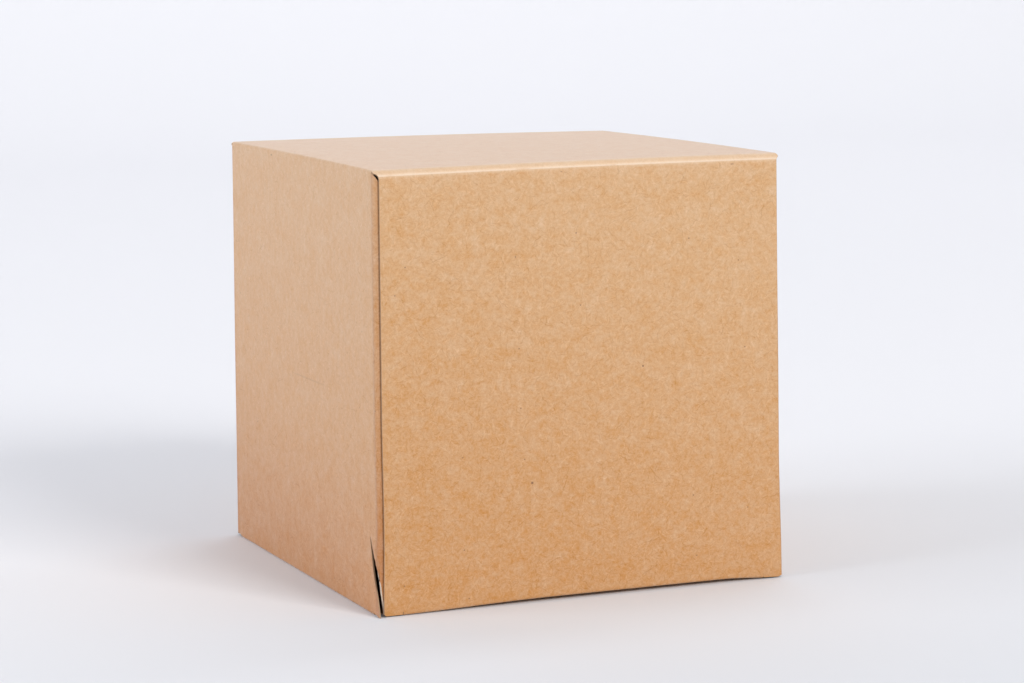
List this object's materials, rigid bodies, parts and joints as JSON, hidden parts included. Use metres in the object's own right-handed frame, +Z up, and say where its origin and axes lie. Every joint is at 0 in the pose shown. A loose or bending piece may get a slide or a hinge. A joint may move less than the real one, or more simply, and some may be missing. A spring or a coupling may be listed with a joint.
{
  "type": "cryogenic storage box",
  "caption": "Kraft paperboard tuck-end carton, nearly a cube, with hinged closures, tuck flaps and dust flaps at both ends and a slotted cell divider inside.",
  "frame": {"origin": "middle of the footprint, on the face that it rests on", "axes": "+Z up; the front closure faces -Y and the rear closure +Y; +X is the right-hand side seen from the front; both closures hinge on the top panel"},
  "size_m": [0.133, 0.133, 0.131],
  "materials": {
    "kraft_board": "uncoated natural kraft folding boxboard, matt, with visible fibres and specks",
    "chipboard": "uncoated grey-brown chipboard strip, matt"
  },
  "bodies": {
    "tube": {"top_panel": "kraft_board", "bottom_panel": "kraft_board", "left_panel": "kraft_board", "right_panel": "kraft_board", "glue_flap": "kraft_board", "top_left_fold": "kraft_board", "top_right_fold": "kraft_board", "bottom_left_fold": "kraft_board", "glue_flap_fold": "kraft_board", "divider_upright_1": "chipboard", "divider_upright_2": "chipboard", "divider_upright_3": "chipboard", "divider_upright_4": "chipboard", "divider_level_1": "chipboard", "divider_level_2": "chipboard", "divider_level_3": "chipboard", "divider_level_4": "chipboard", "front_closure_crease": "kraft_board", "front_left_dust_crease": "kraft_board", "front_right_dust_crease": "kraft_board", "rear_closure_crease": "kraft_board", "rear_left_dust_crease": "kraft_board", "rear_right_dust_crease": "kraft_board"},
    "front_closure": {"front_closure_panel": "kraft_board", "front_tuck_crease": "kraft_board"},
    "front_tuck": {"front_tuck_flap": "kraft_board"},
    "front_left_dust": {"front_left_dust_flap": "kraft_board"},
    "front_right_dust": {"front_right_dust_flap": "kraft_board"},
    "rear_closure": {"rear_closure_panel": "kraft_board", "rear_tuck_crease": "kraft_board"},
    "rear_tuck": {"rear_tuck_flap": "kraft_board"},
    "rear_left_dust": {"rear_left_dust_flap": "kraft_board"},
    "rear_right_dust": {"rear_right_dust_flap": "kraft_board"}
  },
  "joints": [
    {"name": "front_closure_hinge", "type": "hinge", "parent": "tube", "child": "front_closure", "pos_m": [0, -0.0657, 0.1302], "axis": [-1, 0, 0], "range_deg": [0, 180], "deforming": ["front_closure_crease"]},
    {"name": "front_tuck_crease_hinge", "type": "hinge", "parent": "front_closure", "child": "front_tuck", "pos_m": [0, -0.0657, 0.0017], "axis": [-1, 0, 0], "range_deg": [0, 45], "deforming": ["front_tuck_crease"]},
    {"name": "front_left_dust_hinge", "type": "hinge", "parent": "tube", "child": "front_left_dust", "pos_m": [-0.0655, -0.0649, 0.0655], "axis": [0, 0, -1], "range_deg": [0, 90], "deforming": ["front_left_dust_crease"]},
    {"name": "front_right_dust_hinge", "type": "hinge", "parent": "tube", "child": "front_right_dust", "pos_m": [0.0655, -0.0649, 0.0655], "axis": [0, 0, 1], "range_deg": [0, 90], "deforming": ["front_right_dust_crease"]},
    {"name": "rear_closure_hinge", "type": "hinge", "parent": "tube", "child": "rear_closure", "pos_m": [0, 0.0657, 0.1302], "axis": [1, 0, 0], "range_deg": [0, 180], "deforming": ["rear_closure_crease"]},
    {"name": "rear_tuck_crease_hinge", "type": "hinge", "parent": "rear_closure", "child": "rear_tuck", "pos_m": [0, 0.0657, 0.0017], "axis": [1, 0, 0], "range_deg": [0, 45], "deforming": ["rear_tuck_crease"]},
    {"name": "rear_left_dust_hinge", "type": "hinge", "parent": "tube", "child": "rear_left_dust", "pos_m": [-0.0655, 0.0649, 0.0655], "axis": [0, 0, 1], "range_deg": [0, 90], "deforming": ["rear_left_dust_crease"]},
    {"name": "rear_right_dust_hinge", "type": "hinge", "parent": "tube", "child": "rear_right_dust", "pos_m": [0.0655, 0.0649, 0.0655], "axis": [0, 0, -1], "range_deg": [0, 90], "deforming": ["rear_right_dust_crease"]}
  ],
  "couplings": [
    {"joint": "front_tuck_crease_hinge", "follows": "front_closure_hinge", "ratio": 0.25},
    {"joint": "front_left_dust_hinge", "follows": "front_closure_hinge", "ratio": 0.5},
    {"joint": "front_right_dust_hinge", "follows": "front_closure_hinge", "ratio": 0.5},
    {"joint": "rear_tuck_crease_hinge", "follows": "rear_closure_hinge", "ratio": 0.25},
    {"joint": "rear_left_dust_hinge", "follows": "rear_closure_hinge", "ratio": 0.5},
    {"joint": "rear_right_dust_hinge", "follows": "rear_closure_hinge", "ratio": 0.5}
  ]
}
